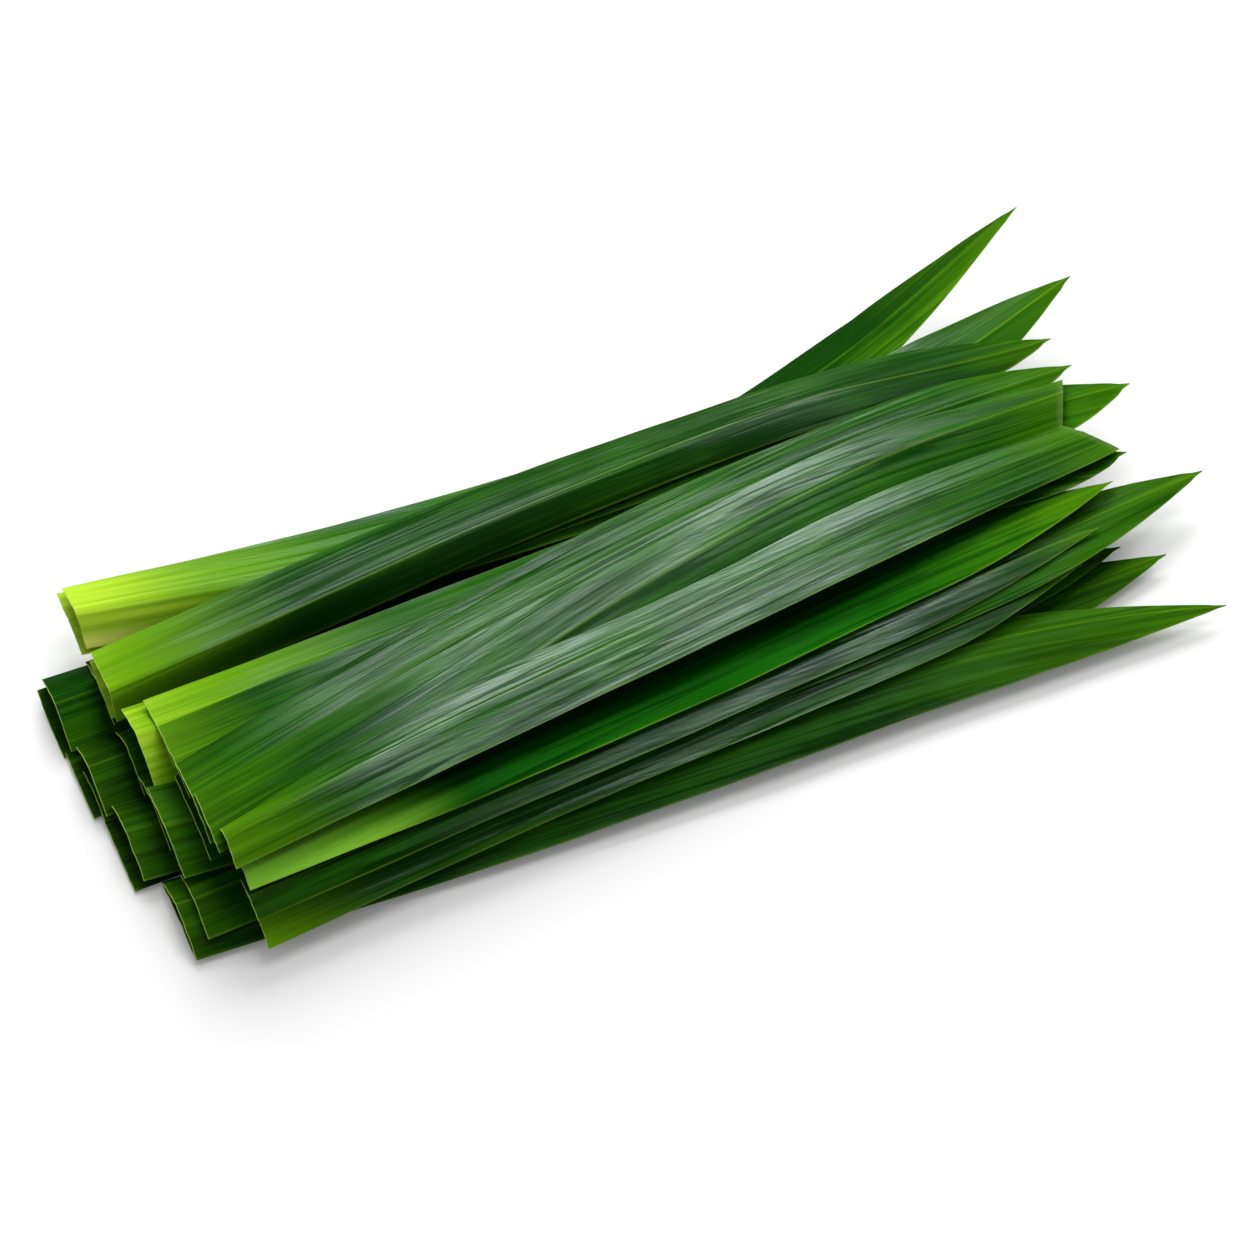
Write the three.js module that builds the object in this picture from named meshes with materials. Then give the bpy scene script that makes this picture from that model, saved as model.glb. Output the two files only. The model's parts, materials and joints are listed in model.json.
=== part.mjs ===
// A bunch of fresh pandan leaves lying on a surface.
// Long sword-shaped leaves are stacked in three stepped tiers with their cut ends together,
// and fan out a little towards their pointed tips. Each leaf is one thin closed solid.
import * as THREE from 'three';

// Driving dimensions, in millimetres.
// X runs along the bunch from the cut ends to the tips, Y across it from the near side
// to the far side, and Z up from the surface that the bunch lies on.
const LEAF_THICKNESS = 0.8;
const STEEPEST_THICKNESS = 1.7;
const LEAF_GAP = 0.45;
const HALF_LEAF = 18;
const TIP_TAPER = 105;
const TIP_WIDTH = 1.4;

// How finely a leaf is divided along and across.
const STATIONS = 20;
const HIDDEN_STATIONS = 12;
const COLUMNS = 6;

// Shape of a leaf.
const TAPER_POWER = 1.7;
const STATION_CROWDING = 1.2;
const SECTION_POWER = 1.5;
const END_SLANT_LENGTH = 60;

// Colours of the leaves: most are mid green, older ones deeper, and young ones brighter.
const DEEP_GREEN = '#2f5f2a';
const LEAF_GREEN = '#4a7a34';
const BRIGHT_GREEN = '#7ba33a';
const LEAF_ROUGHNESS = 0.45;

// The leaves from the lowest to the highest, each laid on those before it.
// Every list but x gives values at even steps from the cut end to the tip.
//   x         the cut end and the tip
//   rib       the midrib across the bunch
//   z         the wished height of the midrib; a leaf is lifted where what lies under it asks
//   far       half the leaf beyond the midrib, before it narrows to the tip
//   near      half the leaf before the midrib
//   farFall   how far the far margin hangs below the midrib
//   nearFall  how far the near margin hangs below the midrib
//   taper     the length over which the leaf narrows to its tip
//   endSlant  how much further along X the end lies per millimetre of Y, on a leaf cut off at its end
//   hidden    true for a leaf that the others cover, which takes fewer steps along its length
//   colour    its green, where that isn't LEAF_GREEN
const LEAVES = [
  // The ground layer.
  { name: 'ground_leaf_1', x: [-225, 150], rib: [44, 50, 58, 66, 74], z: [0, 0],
    farFall: [-6, -2, 0, 0], nearFall: [0, 0], far: [15, 18, 18], hidden: true, colour: DEEP_GREEN },
  { name: 'ground_leaf_2', x: [-224, 190], rib: [9, 18, 27, 33, 38], z: [0, 0],
    farFall: [0, 0], nearFall: [0, 0], hidden: true, colour: DEEP_GREEN },
  { name: 'ground_leaf_3', x: [-221, 196], rib: [-27, -24, -20, -16, -16], z: [0, 0],
    farFall: [0, 0], nearFall: [0, 0], near: [22, 18], hidden: true, colour: DEEP_GREEN },
  { name: 'ground_leaf_4', x: [-211, 214], rib: [-68, -68, -66, -63, -61], z: [3, 3, 4, 6],
    farFall: [1, 0], nearFall: [3, 2], near: [20, 18], taper: 90, colour: DEEP_GREEN },
  // The arched leaves over it.
  { name: 'lower_leaf_1', x: [-222, 252], rib: [43, 50, 60, 84, 129], z: [14, 11, 12, 24, 41],
    farFall: [5, 7, 7, 4, 2], nearFall: [11, 8, 7, 4, 3], taper: 130 },
  { name: 'lower_leaf_2', x: [-221, 170], rib: [0, -5, -11, -14, -14], z: [6, 6, 4],
    farFall: [4, 4], nearFall: [4, 4], far: [14, 18], near: [14, 18], hidden: true, colour: DEEP_GREEN },
  { name: 'lower_leaf_3', x: [-220, 185], rib: [7, 13, 20, 26, 30], z: [12, 11, 6],
    farFall: [8, 4], nearFall: [8, 4], far: [18, 18], near: [21, 18], hidden: true, colour: DEEP_GREEN },
  { name: 'lower_leaf_4', x: [-217, 198], rib: [-29, -35, -42, -48, -51], z: [10, 9, 8],
    farFall: [7, 4], nearFall: [6, 4], far: [17, 18], near: [21, 18], taper: 80, colour: DEEP_GREEN },
  { name: 'lower_leaf_5', x: [-211, 219], rib: [-71, -75, -78, -81, -97], z: [10, 10, 7],
    farFall: [7, 3, 1], nearFall: [8, 4, 2], far: [19, 18, 18, 23], near: [19, 21, 18, 12], taper: 115,
    colour: DEEP_GREEN },
  // The middle tier.
  { name: 'middle_leaf_1', x: [-204, 160], rib: [44, 50, 55, 58, 60], z: [15, 13, 15],
    farFall: [5, 5], nearFall: [6, 6], hidden: true },
  { name: 'middle_leaf_2', x: [-205, 175], rib: [3, 9, 16, 20, 24], z: [20, 18, 14],
    farFall: [10, 8], nearFall: [9, 8], hidden: true },
  { name: 'middle_leaf_3', x: [-205, 178], rib: [-28, -25, -20, -17, -15], z: [19, 18, 13],
    farFall: [6, 6], nearFall: [8, 7], hidden: true },
  { name: 'middle_leaf_4', x: [-205, 185], rib: [-72, -66, -60, -54, -50], z: [14, 15, 14],
    farFall: [4, 2], nearFall: [7, 3], far: [15, 18], near: [15, 18], colour: DEEP_GREEN },
  { name: 'middle_leaf_5', x: [-205, 190], rib: [75, 61, 57, 58, 62], z: [20, 20.5, 22],
    farFall: [-1, 4, 4], nearFall: [5, 7, 5], far: [17, 18], near: [14, 18], hidden: true },
  { name: 'middle_leaf_6', x: [-203, 260], rib: [69, 55, 54, 57, 93], z: [29, 26, 25],
    farFall: [4, 3, 2], nearFall: [14, 4, 3], far: [20, 25, 19, 15], near: [8, 19, 19], taper: 80,
    colour: BRIGHT_GREEN },
  { name: 'middle_leaf_7', x: [-205, 180], rib: [35, 45, 51, 54, 56], z: [20, 27, 24],
    farFall: [-5, 0, 2], nearFall: [5, 3], far: [11, 16], near: [12, 16], hidden: true },
  { name: 'middle_leaf_8', x: [-204, 228], rib: [23, 37, 48, 57, 57], z: [31, 34, 27],
    farFall: [2, 4, 2], nearFall: [14, 10, 4], far: [24, 25, 19, 18], near: [4, 7, 11, 21], taper: 80 },
  { name: 'middle_leaf_9', x: [-202, 180], rib: [-3, 1, 6, 10, 12], z: [29, 25.5, 19],
    farFall: [5, 8, 5], nearFall: [14, 7, 6], far: [19, 18], near: [20, 18], colour: BRIGHT_GREEN },
  // The top tier.
  { name: 'top_leaf_1', x: [-187, 174], rib: [-85, -78, -72, -65, -59], z: [16, 18, 15],
    farFall: [1, 1], nearFall: [9, 5, 3], far: [8, 17], near: [15, 14, 15, 13], taper: 80,
    colour: DEEP_GREEN },
  { name: 'middle_leaf_10', x: [-205, 249], rib: [-43, -51, -57, -48, -32], z: [17, 21, 15],
    farFall: [2, 3, 1], nearFall: [7, 4, 3], far: [20, 18, 18, 23], near: [20, 18] },
  { name: 'top_leaf_2', x: [-188, 189], rib: [-84, -75, -69, -60, -47], z: [21, 23, 19],
    farFall: [0, 0], nearFall: [3, 2], far: [7, 17], near: [11, 12, 9, 10], colour: DEEP_GREEN },
  { name: 'top_leaf_3', x: [-195, 185], rib: [-47, -37, -24, -14, -8], z: [27, 27, 22],
    farFall: [-2, 3, 3], nearFall: [5, 4], far: [20, 18], hidden: true },
  { name: 'top_leaf_4', x: [-187, 206], rib: [-79, -66, -54, -41, -29], z: [28, 28, 23],
    farFall: [3, 1], nearFall: [5, 2, 3], far: [6, 17, 17], near: [6, 14, 17, 15, 17] },
  { name: 'top_leaf_5', x: [-194, 245], rib: [-6, 2, 11, 20, 20], z: [33, 32, 24],
    farFall: [2, 2], nearFall: [3, 3], taper: 58, colour: BRIGHT_GREEN },
  { name: 'top_leaf_6', x: [-194, 220], rib: [-24, -12, -2, -1, -17], z: [34, 33, 24],
    farFall: [1, 1], nearFall: [3, 3], near: [18, 18, 18, 22], taper: 60 },
  { name: 'top_leaf_7', x: [-194, 226], rib: [-47, -17, 7, 27, 37], z: [36, 36, 28],
    farFall: [2, 2], nearFall: [6, 5], far: [19, 19, 20, 16, 19], taper: 75 },
  { name: 'top_leaf_8', x: [-193, 210], rib: [-64, -38, -8, 11, 18], z: [34, 35, 28],
    farFall: [-2, 0, 1], nearFall: [3, 3], far: [17, 18, 10, 13, 11], near: [8, 13, 19, 19, 14], taper: 0,
    endSlant: 0.6 },
  { name: 'top_leaf_9', x: [-190, 210], rib: [-71, -54, -39, -22, -8], z: [31, 36, 27],
    farFall: [4, 1], nearFall: [6, 1, 1], far: [6, 15, 13, 15, 12], near: [11, 15, 17, 16, 9], taper: 0,
    endSlant: -0.7 },
];

const clamp = THREE.MathUtils.clamp;
const smoothstep = THREE.MathUtils.smoothstep;
const lerp = THREE.MathUtils.lerp;

// A smooth curve through evenly spaced values, with s running from 0 to 1.
function through(values, s) {
  const last = values.length - 1;
  const k = Math.min(Math.floor(s * last), last - 1);
  const t = s * last - k;
  const b = values[k];
  const c = values[k + 1];
  const a = k > 0 ? values[k - 1] : 2 * b - c;
  const d = k + 2 <= last ? values[k + 2] : 2 * c - b;
  return b + 0.5 * t * (c - a + t * (2 * a - 5 * b + 4 * c - d + t * (3 * (b - c) + d - a)));
}

// The heights already taken up, kept on a fine grid over the surface.
const field = {
  x0: -250, y0: -130, dx: 2, dy: 0.5, nx: 270, ny: 560,
  z: null,
  index(x, y) {
    return Math.floor((x - this.x0) / this.dx) * this.ny + Math.floor((y - this.y0) / this.dy);
  },
  // The highest of the four cells round a point.
  above(x, y) {
    const k = this.index(x - this.dx / 2, y - this.dy / 2);
    return Math.max(this.z[k], this.z[k + 1], this.z[k + this.ny], this.z[k + this.ny + 1]);
  },
  raise(x, y, z) {
    const k = this.index(x, y);
    if (z > this.z[k]) this.z[k] = z;
  },
};
field.z = new Float32Array(field.nx * field.ny).fill(-LEAF_GAP);

// Points spread over a quad of the leaf, each with the corners' weights on its two triangles.
// The quad is split from its first corner to its last, on both faces alike.
function quadSamples(alongSteps, acrossSteps) {
  const samples = [];
  for (let a = 0; a <= alongSteps; a += 1) {
    for (let b = 0; b <= acrossSteps; b += 1) {
      const p = a / alongSteps;
      const q = b / acrossSteps;
      samples.push(p > q ? [1 - p, p - q, 0, q] : [1 - q, 0, q - p, p]);
    }
  }
  return samples;
}
const CONTACT_SAMPLES = quadSamples(10, 8);
const RAISE_SAMPLES = quadSamples(24, 20);

// The four corners of a quad, in the order of the sample weights.
function quadCorners(i, j) {
  const row = COLUMNS + 1;
  return [i * row + j, (i + 1) * row + j, i * row + j + 1, (i + 1) * row + j + 1];
}

function eachQuad(points, visit) {
  for (let i = 0; i < points.length / (COLUMNS + 1) - 1; i += 1) {
    for (let j = 0; j < COLUMNS; j += 1) visit(quadCorners(i, j));
  }
}

// The plan and the wished height of a leaf, as a grid of points over its underside.
function leafGrid(leaf) {
  const { far = [HALF_LEAF, HALF_LEAF], near = [HALF_LEAF, HALF_LEAF] } = leaf;
  const { taper = TIP_TAPER, endSlant = 0 } = leaf;
  const [cut, tip] = leaf.x;
  const stations = leaf.hidden ? HIDDEN_STATIONS : STATIONS;
  const points = [];
  for (let i = 0; i <= stations; i += 1) {
    const s = 1 - (1 - i / stations) ** STATION_CROWDING;
    const x = lerp(cut, tip, s);
    const narrowing = taper > 0 ? 1 - (1 - clamp((tip - x) / taper, 0, 1)) ** TAPER_POWER : 1;
    const ribY = through(leaf.rib, s);
    const ribZ = through(leaf.z, s);
    const slant = endSlant * smoothstep(x, tip - END_SLANT_LENGTH, tip);
    for (let j = 0; j <= COLUMNS; j += 1) {
      const v = (2 * j) / COLUMNS - 1;
      const half = Math.max(through(v > 0 ? far : near, s) * narrowing, TIP_WIDTH / 2);
      const fall = through(v > 0 ? leaf.farFall : leaf.nearFall, s) * Math.abs(v) ** SECTION_POWER;
      points.push(new THREE.Vector3(x + slant * v * half, ribY + v * half, ribZ - fall * narrowing));
    }
  }
  return points;
}

// Lift a leaf off what it lies on: it is smoothed as a springy blade and pushed up wherever
// it comes nearer than the gap.
function layDown(points) {
  const SPRING_ROUNDS = 60;
  const LAST_ROUNDS = 14;
  const row = COLUMNS + 1;
  const wished = points.map((p) => p.z);
  const lift = new Float64Array(points.length);
  const contacts = [];
  const springs = points.map((p, k) => {
    const j = k % row;
    return [k - row, k + row, j > 0 ? k - 1 : -1, j < COLUMNS ? k + 1 : -1]
      .filter((n) => n >= 0 && n < points.length)
      .map((n) => ({ n, w: 1 / Math.hypot(p.x - points[n].x, p.y - points[n].y) }));
  });
  eachQuad(points, (corners) => {
    for (const weights of CONTACT_SAMPLES) {
      let x = 0;
      let y = 0;
      let squares = 0;
      corners.forEach((k, n) => {
        x += weights[n] * points[k].x;
        y += weights[n] * points[k].y;
        squares += weights[n] ** 2;
      });
      contacts.push({ corners, weights, squares, floor: field.above(x, y) + LEAF_GAP });
    }
  });
  for (let round = 0; round < SPRING_ROUNDS + LAST_ROUNDS; round += 1) {
    if (round < SPRING_ROUNDS) {
      const before = lift.slice();
      springs.forEach((neighbours, k) => {
        let sum = 0;
        let weight = 0;
        for (const { n, w } of neighbours) {
          sum += w * before[n];
          weight += w;
        }
        lift[k] = lerp(before[k], sum / weight, 0.5);
      });
    }
    for (const { corners, weights, squares, floor } of contacts) {
      let z = 0;
      for (let n = 0; n < 4; n += 1) z += weights[n] * (wished[corners[n]] + lift[corners[n]]);
      const short = floor - z;
      if (short > 0) {
        for (let n = 0; n < 4; n += 1) lift[corners[n]] += (short * weights[n]) / squares;
      }
    }
  }
  points.forEach((p, k) => { p.z = wished[k] + lift[k]; });
}

// The upper face stands over the underside by the leaf's thickness, measured square to the leaf.
function upperFace(points) {
  const row = COLUMNS + 1;
  const stations = points.length / row - 1;
  return points.map((p, k) => {
    const i = Math.floor(k / row);
    const j = k % row;
    const a = points[i * row + Math.max(j - 1, 0)];
    const b = points[i * row + Math.min(j + 1, COLUMNS)];
    const c = points[Math.max(i - 1, 0) * row + j];
    const d = points[Math.min(i + 1, stations) * row + j];
    const across = (b.z - a.z) / (b.y - a.y);
    const along = (d.z - c.z) / (d.x - c.x);
    const height = Math.min(LEAF_THICKNESS * Math.hypot(1, across, along), STEEPEST_THICKNESS);
    return new THREE.Vector3(p.x, p.y, p.z + height);
  });
}

// Mark the space under a leaf's upper face as taken.
function takeUp(top) {
  eachQuad(top, (corners) => {
    const [a, b, c, d] = corners.map((k) => top[k]);
    for (const [wa, wb, wc, wd] of RAISE_SAMPLES) {
      field.raise(
        wa * a.x + wb * b.x + wc * c.x + wd * d.x,
        wa * a.y + wb * b.y + wc * c.y + wd * d.y,
        wa * a.z + wb * b.z + wc * c.z + wd * d.z,
      );
    }
  });
}

// One closed body from the two faces and a wall round their edge.
function closedLeaf(bottom, top) {
  const count = bottom.length;
  const faces = [];
  eachQuad(bottom, ([a, b, c, d]) => {
    faces.push(a + count, b + count, d + count, a + count, d + count, c + count);
    faces.push(a, d, b, a, c, d);
  });
  const row = COLUMNS + 1;
  const stations = count / row - 1;
  const rim = [];
  for (let i = 0; i < stations; i += 1) rim.push(i * row);
  for (let j = 0; j < COLUMNS; j += 1) rim.push(stations * row + j);
  for (let i = stations; i > 0; i -= 1) rim.push(i * row + COLUMNS);
  for (let j = COLUMNS; j > 0; j -= 1) rim.push(j);
  rim.forEach((a, n) => {
    const b = rim[(n + 1) % rim.length];
    faces.push(a, b, b + count, a, b + count, a + count);
  });
  const geometry = new THREE.BufferGeometry();
  const positions = [...bottom, ...top].flatMap((p) => [p.x, p.y, p.z]);
  geometry.setAttribute('position', new THREE.Float32BufferAttribute(positions, 3));
  geometry.setIndex(faces);
  geometry.computeVertexNormals();
  return geometry;
}

const bunch = new THREE.Group();
for (const leaf of LEAVES) {
  const bottom = leafGrid(leaf);
  layDown(bottom);
  const top = upperFace(bottom);
  takeUp(top);
  const material = new THREE.MeshStandardMaterial({
    color: leaf.colour ?? LEAF_GREEN, roughness: LEAF_ROUGHNESS, metalness: 0,
  });
  const mesh = new THREE.Mesh(closedLeaf(bottom, top), material);
  mesh.name = leaf.name;
  bunch.add(mesh);
}

// The origin is the middle of the bunch, on the surface that it lies on.
const extent = new THREE.Box3().setFromObject(bunch);
const middle = extent.getCenter(new THREE.Vector3());
for (const mesh of bunch.children) mesh.geometry.translate(-middle.x, -middle.y, -extent.min.z);

export default bunch;
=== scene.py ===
"""Looks of a bunch of fresh pandan leaves lying on a pale surface.

Each leaf of the frame is drawn again as a finer blade on the same shape: thinner, with creases,
long folds and grooves, a wavy margin and a fine tip, and with a waxy green that is pale at the cut
base, streaked along the veins and brighter towards the tip, partly as painted light. Painted shade
darkens the gaps between leaves and thin groove lines, a painted highlight lightens the creases, and
painted light and shade make one side of some leaves lighter than the other.
"""

import json
import math
from types import SimpleNamespace

import bpy
import numpy as np
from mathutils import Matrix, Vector


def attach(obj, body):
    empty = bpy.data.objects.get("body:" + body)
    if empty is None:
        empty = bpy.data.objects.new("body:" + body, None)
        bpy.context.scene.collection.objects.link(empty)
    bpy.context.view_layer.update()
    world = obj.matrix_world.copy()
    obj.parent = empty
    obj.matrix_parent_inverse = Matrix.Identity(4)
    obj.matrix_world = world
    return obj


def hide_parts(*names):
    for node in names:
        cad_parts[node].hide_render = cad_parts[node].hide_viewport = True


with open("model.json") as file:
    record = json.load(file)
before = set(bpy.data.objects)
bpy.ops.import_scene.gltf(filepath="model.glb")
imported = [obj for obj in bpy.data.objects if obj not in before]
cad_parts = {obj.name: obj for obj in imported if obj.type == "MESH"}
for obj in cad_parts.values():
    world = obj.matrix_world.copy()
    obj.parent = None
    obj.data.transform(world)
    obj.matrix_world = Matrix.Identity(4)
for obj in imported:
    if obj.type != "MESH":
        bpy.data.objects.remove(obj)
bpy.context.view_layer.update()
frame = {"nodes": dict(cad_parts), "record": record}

MM = 0.001

# How finely a blade is divided: steps along it and across it.
FINE = (116, 88)
COARSE = (60, 30)
COVERED = {"ground_leaf_1", "ground_leaf_2", "ground_leaf_3", "lower_leaf_2", "middle_leaf_1",
           "middle_leaf_2", "middle_leaf_3", "middle_leaf_5", "middle_leaf_7", "top_leaf_3"}

# Where the two faces of a blade lie in the solid's thickness, from its underside to its top.
UPPER_FACE = 0.80
LOWER_FACE = 0.30
THINNEST = 0.05 * MM
LOWEST = 0.02 * MM

# The solids' grid: columns across a leaf, and stations along it that crowd towards the tip.
COLUMNS = 7
STATION_CROWDING = 1.2
PLAN_DIGITS = 6
SAME_PLACE = 0.02 * MM

# The blunt ends: how much further along X the end lies per length of Y, and where that sets in.
END_SLANT = {"top_leaf_8": 0.6, "top_leaf_9": -0.7}
END_SLANT_LENGTH = 60 * MM

# Looks of each leaf.
#   tone     from 0 for an old dark leaf to 1 for a young light one
#   tip_tone how much lighter than its base the tip is
#   far_side_light  painted light and shade: how much lighter its far margin is than
#            its near one
#   fresh    how much purer its green is
#   pale     how pale the base is, and pale_mm over which length it fades
#   tip_mm   length of the brighter tip, partly lighter green and partly painted light through it
#   bloom    how much greyish wax it has, near_bloom which share of it is left at the near margin,
#            and bloom_mm over which length it sets in from the cut end
#   margin   how light the line along the near margin is
#   folds    strength of the long shallow folds
#   grooves  how many long grooves it has, each with a few short ones
#   creases  ridges along the leaf: place across it at the cut end and at the tip, from -1 at the
#            near margin to 1 at the far one, height and half width in mm, and how light the painted
#            highlight along it is
#   dry      how dry its blunt end is
#   whitish  how whitish a strip along the near margin is at the base: a pale base, lightened
#            further as painted light on a steep face that little light reaches
#   shade    how strongly painted shade darkens it deep in a gap or under another leaf
LOOKS = {
    "ground_leaf_4": dict(tone=0.4, tip_mm=70),
    "lower_leaf_1": dict(tone=0.25, far_side_light=-1.1, pale=0.0, bloom=0.0, tip_mm=95, grooves=14,
                         creases=[(0, 0, 0.5, 3, 0.1)]),
    "lower_leaf_3": dict(tone=0.2),
    "lower_leaf_4": dict(tone=0.3, tip_mm=60, shade=0.6),
    "lower_leaf_5": dict(tone=0.45, far_side_light=0.3, bloom=0.1, shade=0.2, tip_mm=150,
                         creases=[(0.1, 0.25, 0.6, 4, 0.15)]),
    "middle_leaf_4": dict(tone=0.4, shade=0.5),
    "middle_leaf_5": dict(tone=0.5, pale=0.9, pale_mm=60),
    "middle_leaf_6": dict(tone=0.4, tip_tone=-0.7, pale=1.0, pale_mm=120, bloom=1.3, near_bloom=0.0,
                          tip_mm=80, grooves=4, shade=0.1, whitish=1.0,
                          creases=[(-0.05, -0.1, 0.5, 2.5, 0.3)]),
    "middle_leaf_7": dict(tone=0.5, pale=0.9, pale_mm=60),
    "middle_leaf_8": dict(tone=0.20, far_side_light=0.25, pale=0.6, pale_mm=85, bloom=0.8, near_bloom=0.6,
                          shade=0.7, tip_mm=50, margin=0.4, folds=0.5,
                          creases=[(-0.45, 0, 0.3, 1.5, 0.2)]),
    "middle_leaf_9": dict(tone=0.4, pale=0.75, pale_mm=55, margin=0.4, shade=0.6),
    "top_leaf_1": dict(tone=0.4, pale=0.5, pale_mm=50, bloom=1.3, shade=0.5,
                       creases=[(-0.1, 0.1, 0.7, 3, 0.5)]),
    "middle_leaf_10": dict(tone=0.35, bloom=0.4, tip_mm=110, shade=0.6),
    "top_leaf_2": dict(tone=0.3, pale=0.1, pale_mm=45, bloom=1.9, bloom_mm=210, margin=0.2,
                       shade=0.4),
    "top_leaf_4": dict(tone=0.8, fresh=1.0, pale=0.95, pale_mm=90, bloom=0.03, tip_mm=50,
                       margin=0.35, grooves=5, shade=1.15),
    "top_leaf_5": dict(tone=0.25, far_side_light=-0.5, pale=0.7, pale_mm=110, bloom=0.3, tip_mm=60,
                       margin=0.5, creases=[(0, 0, 0.5, 3, 0.2)]),
    "top_leaf_6": dict(tone=0.35, pale=0.35, pale_mm=45, bloom=0.6, bloom_mm=80, grooves=12),
    "top_leaf_7": dict(tone=0.3, bloom=0.85, bloom_mm=70, margin=0.5, tip_mm=50, grooves=10),
    "top_leaf_8": dict(tone=0.3, far_side_light=0.2, pale=0.2, pale_mm=50, bloom=2.0, near_bloom=0.0,
                       bloom_mm=105, dry=0.3, folds=0.5, grooves=8,
                       creases=[(-0.8, 0.3, 0.8, 4, 0.2)]),
    "top_leaf_9": dict(tone=0.35, pale=0.35, pale_mm=60, bloom=2.1, near_bloom=0.6, bloom_mm=65,
                       margin=0.3, dry=0.3, folds=0.5, grooves=7,
                       creases=[(0.1, 0.3, 0.5, 4, 0.1)]),
}
PLAIN_LOOK = dict(tone=0.25, tip_tone=0.0, far_side_light=0.0, fresh=0.0, pale=0.15, pale_mm=20,
                  tip_mm=40, bloom=0.05, near_bloom=1.0, bloom_mm=45, margin=0.2, folds=0.6,
                  grooves=8, creases=[(0, 0, 0.3, 2.5, 0.1)], dry=0.0, whitish=0.0, shade=1.0)

# Relief of a blade, with lengths in mm and slopes as rise over run.
WIDE_FOLDS = dict(shortest=7, longest=16, count=3, slope=0.075)
NARROW_FOLDS = dict(shortest=2.6, longest=5, count=3, slope=0.040)
LONG_GROOVES = dict(reaches=(30, 110), widths=(0.8, 2.2), slope=0.20, lean=0.03)
SHORT_GROOVES = dict(reaches=(12, 35), widths=(0.45, 0.8), slope=0.12, lean=0.07)
SHORT_TO_A_LONG_GROOVE = 3
GROOVE_BEND = 0.6
CREASE_WANDER = 0.5
CREASE_SHARPNESS = 1.3
MARGIN_WAVE, MARGIN_WAVE_REACH = 0.2, 2.5
MARGIN_THINNING, MARGIN_THINNING_REACH = 0.55, 0.9
FULL_RELIEF_WIDTH = 16
RANDOM_START = 6

# The tip is drawn out over its last stretch to a share of its width.
POINT_LENGTH = 9
POINT_WIDTH = 0.12
POINT_ROUNDNESS = 0.7

# The knife's waves along the cut: their lengths and number, their depth, and how far in they reach.
CUT_WAVES = (1.5, 14, 5)
CUT_DEPTH = 0.008
CUT_SOFTNESS = 0.7
CUT_REACH = 4

# Where the colours of a blade set in, in mm from a margin, the cut end or the tip.
CREASE_LINE = 0.45
MARGIN_LINE = 0.5
WHITISH_LENGTH, WHITISH_WIDTH = 40, 5
BLOOM_FADE = 110
FRESH_FADE = 130
DRY_WIDTH = 0.6

# The bunch's upper surface on a square grid, to find what lies in a gap between leaves, where
# shade is painted.
CELL = 1 * MM
CORNER = np.array([-0.26, -0.13])
CELLS = (520, 260)
SURFACE_STEPS = (500, 80)

# Neighbours are looked for all round, at these distances in mm. Those towards the light count
# more, and those no higher than a blade's thickness don't count.
LOOK_OUT = (1.5, 3, 5, 8)
WAYS_ROUND = 12
LIGHT_FROM = (0.42, 0.91)
LIGHT_WEIGHT = 0.5
LEVEL = 0.8 * MM
COVERED_FROM_MM = 1.2
# The share of the sky taken up at which painted shade starts in a gap, and how much more makes it
# darkest. A pale base gets less painted shade.
GAP_STARTS = 0.14
GAP_RANGE = 0.36
GAP_SOFTNESS = 1.5
PALE_IN_GAPS = 0.7

# The flat map: the upper face takes the most of it, the underside less and the rim a thin strip.
UPPER_STRIPS = (0.29, 1.0)
LOWER_STRIPS = (0.03, 0.29)
RIM_STRIP = (0.005, 0.02)
INSET_ALONG = 0.005
INSET_ACROSS = 0.02
SHARP_FROM = 60


# Geometry of the blades.

def leaf_grid(node, slant):
    """The solid's own grid: (upper, lower), each stations by columns of points."""
    places = {}
    for vertex in node.data.vertices:
        x, y, z = vertex.co
        places.setdefault((round(x, PLAN_DIGITS), round(y, PLAN_DIGITS)), []).append(z)
    plan = np.array(sorted(places))
    top = np.array([max(places[tuple(p)]) for p in plan])
    bottom = np.array([min(places[tuple(p)]) for p in plan])
    steps = len(plan) // COLUMNS - 1
    share = 1 - (1 - np.arange(steps + 1) / steps) ** STATION_CROWDING
    # the first half of a leaf is never slanted, so each of its stations is one x
    half = steps // 2
    cut = plan[:, 0].min()
    tip = cut + (np.unique(plan[:, 0])[half] - cut) / share[half]
    stations = []
    for x in cut + (tip - cut) * share:
        lean = slant * smoothstep(x, tip - END_SLANT_LENGTH, tip)
        off = station_offsets(plan, x, lean)
        chosen = np.argsort(off)[:COLUMNS]
        stations.append(chosen[np.argsort(plan[chosen, 1])])
    stations = np.array(stations)
    return tuple(np.dstack([plan[stations], z[stations]]) for z in (top, bottom))


def station_offsets(plan, x, lean):
    """How far each point is from the slanted line of the station whose midrib is at x."""
    tries = []
    for y in plan[np.abs(plan[:, 0] - x) < SAME_PLACE, 1]:
        off = np.abs(plan[:, 0] - x - lean * (plan[:, 1] - y))
        tries.append((np.sort(off)[:COLUMNS].max(), len(tries), off))
    return min(tries)[2]


def smoothstep(x, low, high):
    t = min(max((x - low) / (high - low), 0.0), 1.0)
    return t * t * (3 - 2 * t)


def smooth_between(points, at):
    """A smooth curve through points[0], points[1], ..., read at the fractional indexes in at."""
    last = len(points) - 1
    k = np.minimum(np.floor(at).astype(int), last - 1)
    shape = (-1,) + (1,) * (points.ndim - 1)
    t = (at - k).reshape(shape)
    ends = np.concatenate([[2 * points[0] - points[1]], points, [2 * points[-1] - points[-2]]])
    a, b, c, d = ends[k], ends[k + 1], ends[k + 2], ends[k + 3]
    return b + 0.5 * t * (c - a + t * (2 * a - 5 * b + 4 * c - d + t * (3 * (b - c) + d - a)))


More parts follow.
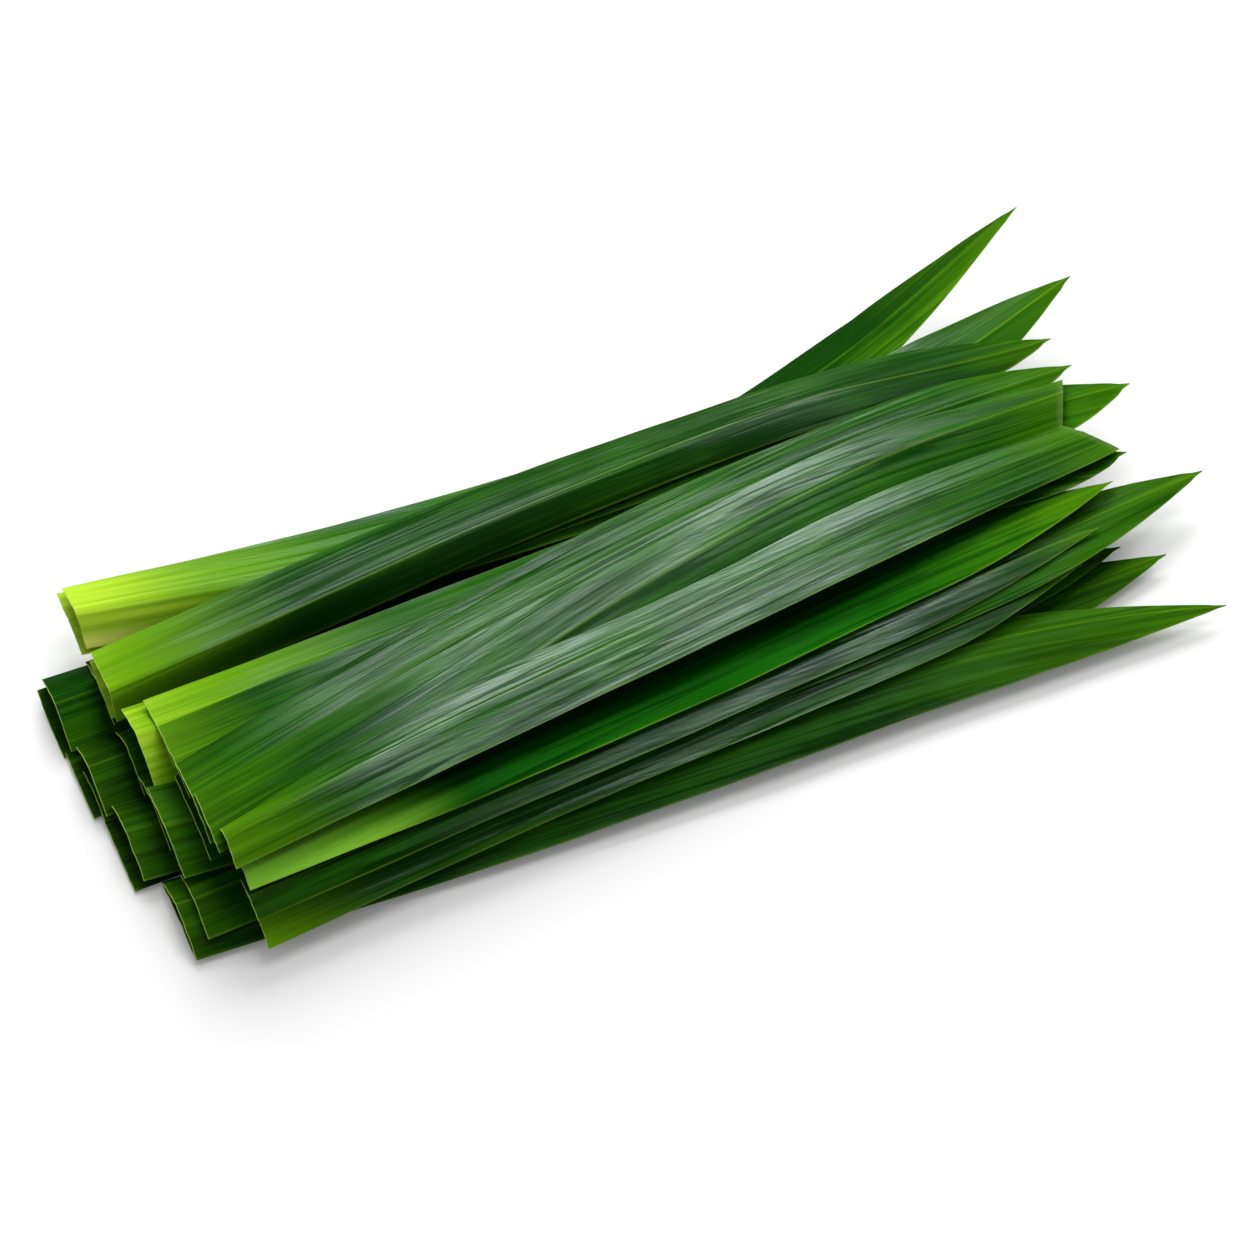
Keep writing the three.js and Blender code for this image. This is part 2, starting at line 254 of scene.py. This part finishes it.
def finer(grid, along, across):
    """The grid's surface with this many steps along and across."""
    steps = len(grid) - 1
    even = np.linspace(0, 1, along + 1)
    # even steps in length, from the stations' own crowding
    rows = smooth_between(grid, steps * (1 - (1 - even) ** (1 / STATION_CROWDING)))
    columns = np.linspace(0, COLUMNS - 1, across + 1)
    return np.swapaxes(smooth_between(np.swapaxes(rows, 0, 1), columns), 0, 1)


def cells_of(points):
    at = np.round((points[..., :2] - CORNER) / CELL).astype(int)
    return np.clip(at[..., 0], 0, CELLS[0] - 1), np.clip(at[..., 1], 0, CELLS[1] - 1)


def bunch_surface(grids):
    heights = np.zeros(CELLS)
    for grid in grids:
        points = finer(grid, *SURFACE_STEPS)
        np.maximum.at(heights, cells_of(points), points[..., 2])
    return heights


def gap_shade(points, heights):
    """From 0 in the open to 1 deep in a gap: how much of the sky higher neighbours take up."""
    total, weights = 0, 0
    for n in range(WAYS_ROUND):
        angle = n * math.pi / (WAYS_ROUND / 2)
        way = np.array([math.cos(angle), math.sin(angle)])
        weight = 1 + LIGHT_WEIGHT * (way @ np.array(LIGHT_FROM))
        steepest = 0
        for reach in LOOK_OUT:
            there = points[..., :2] + way * reach * MM
            rise = heights[cells_of(there)] - points[..., 2] - LEVEL
            steepest = np.maximum(steepest, rise / (reach * MM))
        total += weight * steepest ** 2 / (1 + steepest ** 2)
        weights += weight
    covered = np.clip((heights[cells_of(points)] - points[..., 2]) / MM - COVERED_FROM_MM, 0, 1)
    return np.maximum(np.clip((total / weights - GAP_STARTS) / GAP_RANGE, 0, 1), covered)


def drift(rng, along, shortest, longest):
    """A slow wave along the blade, from -1 to 1, of a random length and start."""
    return np.sin(along / rng.uniform(shortest, longest) + rng.uniform(0, RANDOM_START))


def near_line(beside, fade, reach=1):
    """Falls from 1 at a line to 0 at reach times fade beside it."""
    return np.clip(reach - beside / fade, 0, 1)


def long_folds(rng, across, along, shortest, longest, count, slope):
    """Waves across the blade that wander slowly along it. All lengths in mm."""
    height = np.zeros_like(across)
    for length in rng.uniform(shortest, longest, count):
        lean = rng.uniform(-0.03, 0.03)
        wander = rng.uniform(0.4, 1.2) * drift(rng, along, 40, 110)
        fade = 0.5 + 0.5 * drift(rng, along, 25, 80)
        start = rng.uniform(0, RANDOM_START)
        angle = 2 * math.pi * (across + lean * along) / length + start + wander
        height += slope * length / (2 * math.pi) * fade * np.sin(angle)
    return height


def creased_grooves(rng, across, along, count, reaches, widths, slope, lean):
    """Sharp-sided grooves shaped like long lenses, slightly aslant along the blade. In mm."""
    height = np.zeros_like(across)
    length = along.max()
    half = np.abs(across).max()
    for _ in range(count):
        middle = rng.uniform(0.05, 0.92) * length
        reach = rng.uniform(*reaches)
        place = rng.uniform(-0.85, 0.85) * half
        aslant = rng.uniform(-1, 1) * lean
        bend = rng.uniform(-1, 1) * GROOVE_BEND
        from_middle = (along - middle) / reach
        width = rng.uniform(*widths) * np.clip(1 - from_middle ** 2, 0.001, 1)
        beside = np.abs(across - place - aslant * (along - middle) - bend * from_middle ** 2)
        height -= slope * width * near_line(beside, width)
    return height


def measures(face, rib):
    """Where each point of a blade's face lies on it, in mm along and across its surface."""
    rows, columns = face.shape[:2]
    steps = np.linalg.norm(np.diff(face, axis=0), axis=2)
    along = np.vstack([np.zeros(columns), np.cumsum(steps, axis=0)]) / MM
    widths = np.linalg.norm(np.diff(face, axis=1), axis=2)
    across = np.hstack([np.zeros((rows, 1)), np.cumsum(widths, axis=1)]) / MM
    wide = across[:, -1:]
    return SimpleNamespace(
        along=along, share=along / along[-1:], to_tip=along[-1:] - along,
        across=across, wide=wide, from_rib=across - across[:, rib:rib + 1],
        to_near=across, to_edge=np.minimum(across, wide - across))


def relief(rng, look, at):
    """How far the upper face stands off the plain shape, in mm, and how light the painted highlight
    along its creases is.
    """
    lift = long_folds(rng, at.from_rib, at.along, **WIDE_FOLDS)
    lift += long_folds(rng, at.from_rib, at.along, **NARROW_FOLDS)
    lift = look["folds"] * lift
    long_ones = look["grooves"]
    short_ones = SHORT_TO_A_LONG_GROOVE * long_ones
    lift += creased_grooves(rng, at.from_rib, at.along, long_ones, **LONG_GROOVES)
    lift += creased_grooves(rng, at.from_rib, at.along, short_ones, **SHORT_GROOVES)
    crease_highlight = np.zeros_like(lift)
    for start, end, height, width, light in look["creases"]:
        place = (start + (end - start) * at.share + 1) / 2 * at.wide
        place = place + CREASE_WANDER * drift(rng, at.along, 30, 60)
        beside = np.abs(at.across - place)
        lift += height * near_line(beside, width) ** CREASE_SHARPNESS
        crease_highlight = np.maximum(crease_highlight, light * near_line(beside, CREASE_LINE, 1.6))
    # margins are a little wavy
    wave = drift(rng, at.along, 9, 14) * np.sin(at.along / rng.uniform(25, 45))
    lift += MARGIN_WAVE * wave * np.exp(-(at.to_edge / MARGIN_WAVE_REACH) ** 2)
    lift *= np.clip(at.wide / FULL_RELIEF_WIDTH, 0, 1)
    return lift, crease_highlight


def uneven_cut(rng, at):
    """How far a knife's uneven cut shifts each point along the leaf, in mm."""
    ragged = np.zeros(at.across.shape[1])
    for length in rng.uniform(*CUT_WAVES):
        start = rng.uniform(0, RANDOM_START)
        wave = np.sin(at.across[0] * 2 * math.pi / length + start)
        ragged += CUT_DEPTH * length ** CUT_SOFTNESS * wave
    return ragged * np.exp(-at.along / CUT_REACH)


def colour_values(look, at, crease_highlight, gap):
    """What the material reads at each point of a blade."""
    pale = look["pale"] * near_line(at.along, look["pale_mm"])
    bloom = (look["bloom"] * np.clip(at.along / look["bloom_mm"], 0.2, 1) ** 3
             * np.clip(at.to_tip / BLOOM_FADE, 0.1, 1))
    place = at.across / at.wide
    return {
        "pale": pale,
        "bright": near_line(at.to_tip, look["tip_mm"]) ** 0.8,
        "edge": at.to_edge,
        "near_margin": look["margin"] * near_line(at.to_near, MARGIN_LINE, 1.5),
        "cut": at.along,
        "crease_highlight": crease_highlight,
        # the far side's part of the tone is painted light and shade across the leaf
        "tone": look["tone"] + look["far_side_light"] * (place - 0.5) + look["tip_tone"] * at.share ** 2,
        # painted shade, from how deep in a gap the point lies
        "shade": look["shade"] * gap ** GAP_SOFTNESS * (1 - PALE_IN_GAPS * pale),
        "fresh": look["fresh"] * np.clip(at.to_tip / FRESH_FADE, 0, 1),
        "whitish": (look["whitish"] * near_line(at.along, WHITISH_LENGTH)
                    * near_line(at.to_near, WHITISH_WIDTH, 1.4)),
        "bloom": bloom * (look["near_bloom"] + (1 - look["near_bloom"]) * at.across / at.wide),
        "dry": look["dry"] * near_line(at.to_tip, DRY_WIDTH),
    }


def blade(name, upper, lower, heights):
    """The finer blade of one leaf, with what its material reads."""
    look = {**PLAIN_LOOK, **LOOKS.get(name, {})}
    rng = np.random.default_rng(sum(ord(c) * (n + 7) for n, c in enumerate(name)))
    steps_along, steps_across = COARSE if name in COVERED else FINE
    rib = steps_across // 2
    upper, lower = (finer(grid, steps_along, steps_across) for grid in (upper, lower))
    solid = lower + (upper - lower) * UPPER_FACE
    under = lower + (upper - lower) * LOWER_FACE
    at = measures(solid, rib)
    lift, crease_highlight = relief(rng, look, at)

    # a pointed tip is drawn out into a fine point
    narrow = np.clip(at.to_tip / POINT_LENGTH, POINT_WIDTH, 1) ** POINT_ROUNDNESS
    if name in END_SLANT:
        narrow = np.ones_like(narrow)
    cut_shift = uneven_cut(rng, at) * MM
    for face in (solid, under):
        middle = face[:, rib:rib + 1].copy()
        face[...] = middle + (face - middle) * narrow[..., None]
        face[..., 0] += cut_shift

    # margins are thin, and the underside stays off the table
    thinned = 1 - MARGIN_THINNING * np.exp(-(at.to_edge / MARGIN_THINNING_REACH) ** 2)
    thickness = (solid[..., 2] - under[..., 2]) * thinned
    solid[..., 2] += lift * MM
    under[..., 2] = np.maximum(solid[..., 2] - thickness, LOWEST)
    solid[..., 2] = np.maximum(solid[..., 2], under[..., 2] + THINNEST)

    values = colour_values(look, at, crease_highlight, gap_shade(upper, heights))
    seed = rng.uniform(0, 500)
    grain = np.stack([at.from_rib, at.along, np.full_like(at.along, seed)], axis=-1)
    return solid, under, values, grain


def strips_map(rows, columns):
    """A flat map of a blade's quads, corner by corner: each face as two strips, the rim as one."""
    half = rows // 2
    i, j = (n.ravel() for n in np.mgrid[:rows - 1, :columns - 1])
    second = i >= half
    first_row = np.where(second, half, 0)
    length = np.where(second, rows - 1 - half, half)

    def face(low, high, corners):
        tall = (high - low) / 2
        bottom = low + second * tall
        u = np.array([(i + di - first_row) / length for di, _ in corners])
        share = np.array([(1 - 2 * INSET_ACROSS) * (j + dj) / (columns - 1) for _, dj in corners])
        v = bottom + tall * (INSET_ACROSS + share)
        return np.stack([INSET_ALONG + (1 - 2 * INSET_ALONG) * u, v], axis=-1).swapaxes(0, 1)

    around = [(0, 0), (1, 0), (1, 1), (0, 1)]
    count = 2 * (rows - 1) + 2 * (columns - 1)
    n = np.arange(count)
    rim = np.stack([np.stack([n, n + 1, n + 1, n], axis=1) / count,
                    np.tile(np.repeat(RIM_STRIP, 2), (count, 1))], axis=-1)
    return np.concatenate([face(*UPPER_STRIPS, around), face(*LOWER_STRIPS, around[::-1]), rim])


def mesh_of(name, solid, under, values, grain):
    """A closed mesh of the two faces and the rim between them."""
    rows, columns = solid.shape[:2]
    count = rows * columns
    index = np.arange(count).reshape(rows, columns)
    a, b = index[:-1, :-1].ravel(), index[1:, :-1].ravel()
    c, d = index[1:, 1:].ravel(), index[:-1, 1:].ravel()
    top = np.column_stack([a, b, c, d])
    bottom = np.column_stack([d, c, b, a]) + count
    ring = np.concatenate([index[:-1, 0], index[-1, :-1], index[:0:-1, -1], index[0, :0:-1]])
    following = np.roll(ring, -1)
    rim = np.column_stack([ring + count, following + count, following, ring])
    faces = np.vstack([top, bottom, rim])
    points = np.vstack([solid.reshape(-1, 3), under.reshape(-1, 3)])
    mesh = bpy.data.meshes.new(name)
    mesh.from_pydata(points.tolist(), [], faces.tolist())
    mesh.update()
    mesh.uv_layers.new(name="OFBake").data.foreach_set("uv", strips_map(rows, columns).ravel())
    for key, value in values.items():
        attribute = mesh.attributes.new(key, "FLOAT", "POINT")
        attribute.data.foreach_set("value", np.tile(value.ravel(), 2).astype(np.float32))
    face = mesh.attributes.new("upper", "FLOAT", "POINT")
    face.data.foreach_set("value", np.repeat([1.0, 0.0], count).astype(np.float32))
    coordinates = mesh.attributes.new("grain", "FLOAT_VECTOR", "POINT")
    on_both_faces = np.tile(grain.reshape(-1, 3), (2, 1))
    coordinates.data.foreach_set("vector", on_both_faces.ravel().astype(np.float32))
    mesh.shade_smooth()
    mesh.set_sharp_from_angle(angle=math.radians(SHARP_FROM))
    return mesh


# Materials.

class Graph:
    """A short way to write a node tree."""

    def __init__(self, material):
        material.use_nodes = True
        self.tree = material.node_tree
        self.tree.nodes.clear()

    def node(self, kind, inputs=(), **settings):
        made = self.tree.nodes.new("ShaderNode" + kind)
        for key, value in settings.items():
            setattr(made, key, value)
        for key, value in dict(inputs).items():
            self.put(made.inputs[key], value)
        return made

    def put(self, socket, value):
        if isinstance(value, bpy.types.NodeSocket):
            self.tree.links.new(value, socket)
        else:
            socket.default_value = value

    def math(self, operation, a, b=0.0, clamp=False):
        return self.node("Math", {0: a, 1: b}, operation=operation, use_clamp=clamp).outputs[0]

    def value(self, name):
        return self.node("Attribute", attribute_name=name).outputs["Fac"]

    def mix(self, factor, a, b, **settings):
        made = self.node("Mix", data_type="RGBA", **settings)
        self.put(made.inputs["Factor"], factor)
        self.put(made.inputs["A"], a)
        self.put(made.inputs["B"], b)
        return made.outputs["Result"]

    def ramp(self, value, low, high, to_low=0.0, to_high=1.0):
        return self.node("MapRange", {"Value": value, "From Min": low, "From Max": high,
                                      "To Min": to_low, "To Max": to_high},
                         interpolation_type="SMOOTHSTEP").outputs["Result"]

    def streaks(self, across, along, detail=3.0, roughness=0.6, aslant=0.0):
        """Noise drawn out along the blade, or aslant to it by an angle. In cycles a millimetre."""
        grain = self.node("Attribute", attribute_name="grain").outputs["Vector"]
        scaled = self.node("Mapping", {"Vector": grain, "Rotation": (0, 0, aslant),
                                       "Scale": (1 / across, 1 / along, 1)}, vector_type="TEXTURE")
        noise = self.node("TexNoise", {"Vector": scaled.outputs[0], "Scale": 1.0, "Detail": detail,
                                       "Roughness": roughness})
        return noise.outputs["Fac"]


def srgb(r, g, b):
    """A colour read off a screen, 0 to 255, as linear light."""
    def linear(v):
        v /= 255
        return v / 12.92 if v <= 0.04045 else ((v + 0.055) / 1.055) ** 2.4
    return (linear(r), linear(g), linear(b), 1.0)


# The greens of each material slot: deep, middle and light.
LEAF_GREENS = {
    "deep_leaf": (srgb(8, 42, 3), srgb(26, 76, 4), srgb(60, 112, 10)),
    "mid_leaf": (srgb(14, 58, 4), srgb(38, 92, 5), srgb(78, 132, 12)),
    "bright_leaf": (srgb(26, 80, 5), srgb(58, 116, 6), srgb(98, 152, 14)),
}
FRESH_DEEP, FRESH_LIGHT = srgb(3, 60, 1), srgb(18, 98, 2)
# a lighter tip green, partly painted light shining through the thin tip
TIP_GREEN_AND_LIGHT = srgb(66, 117, 3)
BASE_GREEN, BASE_PALE = srgb(100, 152, 14), srgb(168, 204, 48)
FRESH_BASE = srgb(142, 206, 62)
# partly pale base and partly painted light on the steep near face
WHITISH_BASE_AND_LIGHT = srgb(236, 246, 120)
# painted highlight: the light line along a crease ridge
CREASE_HIGHLIGHT_GREEN = srgb(128, 172, 30)
MARGIN_GREEN = srgb(128, 172, 44)
DRY_GREEN = srgb(120, 140, 80)
CUT_GREEN = srgb(150, 184, 78)
UNDERSIDE_GREEN = srgb(100, 140, 40)
UNDERSIDE_SHARE = 0.35
# painted shade: the tint that darkens a blade deep in a gap or under another leaf
PAINTED_SHADE_TINT = (0.06, 0.24, 0.04, 1.0)
PAINTED_SHADE_STRENGTH = 0.9
WAX_TINT = (0.82, 1.0, 0.94, 1.0)
WAX_GLOSS = 0.60
BARE_GLOSS = 0.006

# Streaks across and along the blade, in cycles a millimetre, and their detail.
VEINS = (2.0, 0.012, 2.0)
BROAD_STREAKS = (0.35, 0.006)
PATCHES = (0.05, 0.020, 2.0)
SHADED_GROOVE_LINES = (0.13, 0.003, 1.0)
WAX_PATCHES = (0.12, 0.008)
WAX_STREAKS = (0.9, 0.008, 2.0)
PUCKERS = dict(across=0.85, along=0.04, detail=2.0, roughness=0.5, aslant=0.13)
PUCKERED_PARTS = (0.06, 0.020, 2.0)
FINE_RIDGES, FINE_RIDGE_HEIGHT = (0.7, 0.010), 0.09
BROAD_RIDGES, BROAD_RIDGE_HEIGHT = (0.28, 0.010, 2.0), 0.12
PUCKER_HEIGHT = 0.16

# How much streaks lighten and darken a blade, and how much painted shade a groove line gets.
BROAD_CONTRAST, PATCH_CONTRAST, VEIN_CONTRAST = 0.20, 0.14, 0.12
GROOVE_PAINTED_SHADE = 0.25


def leaf_green(g, greens, broad, beside_shaded_groove):
    """The colour of a blade's upper face, from its tone, its streaks and what each part adds, painted
    light and shade among them.
    """
    deep, mid, light = greens
    patches = g.streaks(*PATCHES)
    lightness = g.math("ADD", g.value("tone"),
                       g.ramp(broad, 0.25, 0.75, -BROAD_CONTRAST, BROAD_CONTRAST))
    for noise, contrast in ((patches, PATCH_CONTRAST), (g.streaks(*VEINS), VEIN_CONTRAST)):
        lightness = g.math("ADD", lightness, g.ramp(noise, 0.3, 0.7, -contrast, contrast))
    # painted shade along the thin groove lines
    lightness = g.math("ADD", lightness, g.ramp(beside_shaded_groove, 0.0, 1.0, -GROOVE_PAINTED_SHADE, 0.0))
    green = g.mix(g.ramp(lightness, 0.0, 0.6), deep, mid)
    green = g.mix(g.ramp(lightness, 0.5, 1.1), green, light)
    purer = g.mix(g.ramp(lightness, 0.3, 1.0), FRESH_DEEP, FRESH_LIGHT)
    green = g.mix(g.value("fresh"), green, purer)

    # a lighter green at the tip, partly painted light shining through the thin tip
    tip = g.math("MULTIPLY", g.value("bright"), g.ramp(broad, 0.25, 0.7, 0.15, 0.75))
    green = g.mix(tip, green, TIP_GREEN_AND_LIGHT)
    base = g.math("MULTIPLY", g.value("pale"), g.ramp(broad, 0.3, 0.7, 0.85, 1.1), clamp=True)
    green = g.mix(g.ramp(base, 0.0, 0.7), green, BASE_GREEN)
    green = g.mix(g.ramp(base, 0.5, 1.0), green, BASE_PALE)
    fresh_base = g.math("MULTIPLY", g.value("fresh"), g.ramp(base, 0.0, 0.7))
    green = g.mix(fresh_base, green, FRESH_BASE)
    # a whitish base along the near margin, partly pale tissue and partly painted light
    green = g.mix(g.value("whitish"), green, WHITISH_BASE_AND_LIGHT)

    # painted highlight along the crease ridges
    green = g.mix(g.value("crease_highlight"), green, CREASE_HIGHLIGHT_GREEN)
    margin = g.math("MULTIPLY", g.value("near_margin"), g.ramp(patches, 0.3, 0.6, 0.4, 1.0))
    margin = g.math("MAXIMUM", margin, g.ramp(g.value("edge"), 0.25, 0.05, 0.0, 0.15))
    green = g.mix(margin, green, MARGIN_GREEN)
    green = g.mix(g.value("dry"), green, DRY_GREEN)
    # painted shade deep in gaps and under other leaves
    painted_shade_amount = g.math("MULTIPLY", g.value("shade"), PAINTED_SHADE_STRENGTH)
    green = g.mix(painted_shade_amount, green, PAINTED_SHADE_TINT, blend_type="MULTIPLY")
    return g.mix(g.ramp(g.value("cut"), 0.35, 0.1, 0.0, 0.8), green, CUT_GREEN)


def wax_gloss(g, puckers, beside_shaded_groove):
    """The greyish sheen of the wax, broken up by streaks, puckers and grooves, and taken away where
    shade is painted.
    """
    waxy = g.math("MULTIPLY", g.ramp(g.streaks(*WAX_PATCHES), 0.36, 0.54, 0.30, 0.90),
                  g.ramp(g.streaks(*WAX_STREAKS), 0.34, 0.56, 0.50, 1.0))
    waxy = g.math("MULTIPLY", waxy, g.ramp(puckers, 0.36, 0.54, 0.60, 1.0))
    waxy = g.math("MULTIPLY", waxy, g.ramp(beside_shaded_groove, 0.0, 1.0, 0.25, 1.05))
    glossy = g.math("MULTIPLY", g.value("bloom"), waxy)
    glossy = g.math("MULTIPLY", glossy, g.math("SUBTRACT", 1.0, g.value("shade"), clamp=True))
    return g.math("ADD", g.math("MULTIPLY", glossy, WAX_GLOSS), BARE_GLOSS)


def surface_ridges(g, puckers):
    """Fine ridges along the veins, and puckers in places, in mm."""
    ridges = g.math("ADD", g.math("MULTIPLY", g.streaks(*FINE_RIDGES), FINE_RIDGE_HEIGHT),
                    g.math("MULTIPLY", g.streaks(*BROAD_RIDGES), BROAD_RIDGE_HEIGHT))
    puckered = g.ramp(g.streaks(*PUCKERED_PARTS), 0.45, 0.62, 0.0, PUCKER_HEIGHT)
    return g.math("ADD", ridges, g.math("MULTIPLY", puckers, puckered))


def leaf_material(name, greens):
    material = bpy.data.materials.new(name)
    g = Graph(material)
    broad = g.streaks(*BROAD_STREAKS)
    puckers = g.streaks(**PUCKERS)
    # thin lines of painted shade, as in grooves, run where a broad noise crosses its middle
    from_middle = g.math("ABSOLUTE", g.math("SUBTRACT", g.streaks(*SHADED_GROOVE_LINES), 0.5))
    beside_shaded_groove = g.ramp(from_middle, 0.004, 0.030)
    green = leaf_green(g, greens, broad, beside_shaded_groove)
    underside = g.mix(UNDERSIDE_SHARE, green, UNDERSIDE_GREEN)
    bump = g.node("Bump", {"Height": surface_ridges(g, puckers), "Strength": 1.0, "Distance": MM})
    surface = g.node("BsdfPrincipled", {
        "Base Color": g.mix(g.value("upper"), underside, green),
        "Roughness": g.ramp(broad, 0.2, 0.8, 0.25, 0.34), "Normal": bump.outputs["Normal"],
        "Specular IOR Level": wax_gloss(g, puckers, beside_shaded_groove), "Specular Tint": WAX_TINT,
    })
    output = g.node("OutputMaterial")
    g.tree.links.new(surface.outputs[0], output.inputs["Surface"])
    return material


def dress_leaves():
    """A blade in place of each leaf of the frame."""
    materials = {slot: leaf_material(slot + "_blade", greens) for slot, greens in LEAF_GREENS.items()}
    slots = {part["node"]: part["material_slot"] for part in frame["record"]["subparts"]}
    grids = {name: leaf_grid(node, END_SLANT.get(name, 0)) for name, node in frame["nodes"].items()}
    heights = bunch_surface([upper for upper, _ in grids.values()])
    for leaf_name, (upper, lower) in grids.items():
        leaf_mesh = mesh_of(leaf_name + "_blade", *blade(leaf_name, upper, lower, heights))
        leaf_mesh.materials.append(materials[slots[leaf_name]])
        piece = bpy.data.objects.new(leaf_name + "_blade", leaf_mesh)
        bpy.context.scene.collection.objects.link(piece)
        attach(piece, "root")
        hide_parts(leaf_name)


# Floor, light and camera. Places and sizes are in metres.

FLOOR_HALF = 6.0
FLOOR_GREY = 0.74
FLOOR_GLOW = 0.08
SKY_STRENGTH = 0.54
BACKDROP_GREY = 0.93
LENS_MM, SENSOR_MM = 80, 36
CAMERA_AZIMUTH, CAMERA_ELEVATION = -25, 45
CAMERA_DISTANCE = 1.115
CAMERA_TARGET = (-17.5 * MM, -14.9 * MM, 0)


def stage_floor():
    mesh = bpy.data.meshes.new("floor")
    corners = [(-1, -1), (1, -1), (1, 1), (-1, 1)]
    mesh.from_pydata([(x * FLOOR_HALF, y * FLOOR_HALF, 0) for x, y in corners], [], [(0, 1, 2, 3)])
    floor = bpy.data.objects.new("floor", mesh)
    bpy.context.scene.collection.objects.link(floor)
    material = bpy.data.materials.new("floor")
    g = Graph(material)
    surface = g.node("BsdfPrincipled", {
        "Base Color": (FLOOR_GREY, FLOOR_GREY, FLOOR_GREY, 1), "Roughness": 0.9,
        "Specular IOR Level": 0.1, "Emission Color": (1, 1, 1, 1), "Emission Strength": FLOOR_GLOW,
    })
    g.tree.links.new(surface.outputs[0], g.node("OutputMaterial").inputs["Surface"])
    mesh.materials.append(material)


def area_light(name, place, size, power, mirrored=True):
    """A soft lamp that points at the bunch, with its power in watts."""
    lamp = bpy.data.lights.new(name, "AREA")
    lamp.shape = "RECTANGLE"
    lamp.size, lamp.size_y = size
    lamp.energy = power
    holder = bpy.data.objects.new(name, lamp)
    holder.location = place
    holder.rotation_euler = (-Vector(place)).to_track_quat("-Z", "Y").to_euler()
    holder.visible_glossy = mirrored
    bpy.context.scene.collection.objects.link(holder)


def studio():
    """Soft light from all round and three lamps. The backdrop that the camera sees is pale grey."""
    world = bpy.data.worlds.new("studio")
    bpy.context.scene.world = world
    world.use_nodes = True
    tree = world.node_tree
    tree.nodes.clear()
    seen = tree.nodes.new("ShaderNodeLightPath").outputs["Is Camera Ray"]
    lighting = tree.nodes.new("ShaderNodeBackground")
    lighting.inputs["Color"].default_value = (1, 1, 1, 1)
    lighting.inputs["Strength"].default_value = SKY_STRENGTH
    shown = tree.nodes.new("ShaderNodeBackground")
    shown.inputs["Color"].default_value = (BACKDROP_GREY, BACKDROP_GREY, BACKDROP_GREY, 1)
    shown.inputs["Strength"].default_value = 1.0
    mixed = tree.nodes.new("ShaderNodeMixShader")
    output = tree.nodes.new("ShaderNodeOutputWorld")
    tree.links.new(seen, mixed.inputs[0])
    tree.links.new(lighting.outputs[0], mixed.inputs[1])
    tree.links.new(shown.outputs[0], mixed.inputs[2])
    tree.links.new(mixed.outputs[0], output.inputs["Surface"])
    world.cycles_visibility.glossy = False
    area_light("key", (0.8, 2.8, 2.1), (2.5, 2.5), 94, mirrored=False)
    area_light("sheen", (0.67, 1.58, 1.68), (1.3, 1.0), 22)
    area_light("high_sheen", (0.65, 0.10, 2.4), (1.3, 1.6), 19)
    view = bpy.context.scene.view_settings
    view.view_transform = "Standard"
    view.look = "None"


def camera():
    azimuth, elevation = math.radians(CAMERA_AZIMUTH), math.radians(CAMERA_ELEVATION)
    back = Vector((math.sin(azimuth) * math.cos(elevation), -math.cos(azimuth) * math.cos(elevation),
                   math.sin(elevation)))
    lens = bpy.data.cameras.new("camera")
    lens.lens, lens.sensor_width = LENS_MM, SENSOR_MM
    holder = bpy.data.objects.new("camera", lens)
    holder.location = Vector(CAMERA_TARGET) + back * CAMERA_DISTANCE
    holder.rotation_euler = (-back).to_track_quat("-Z", "Y").to_euler()
    bpy.context.scene.collection.objects.link(holder)
    bpy.context.scene.camera = holder


dress_leaves()
stage_floor()
studio()
camera()
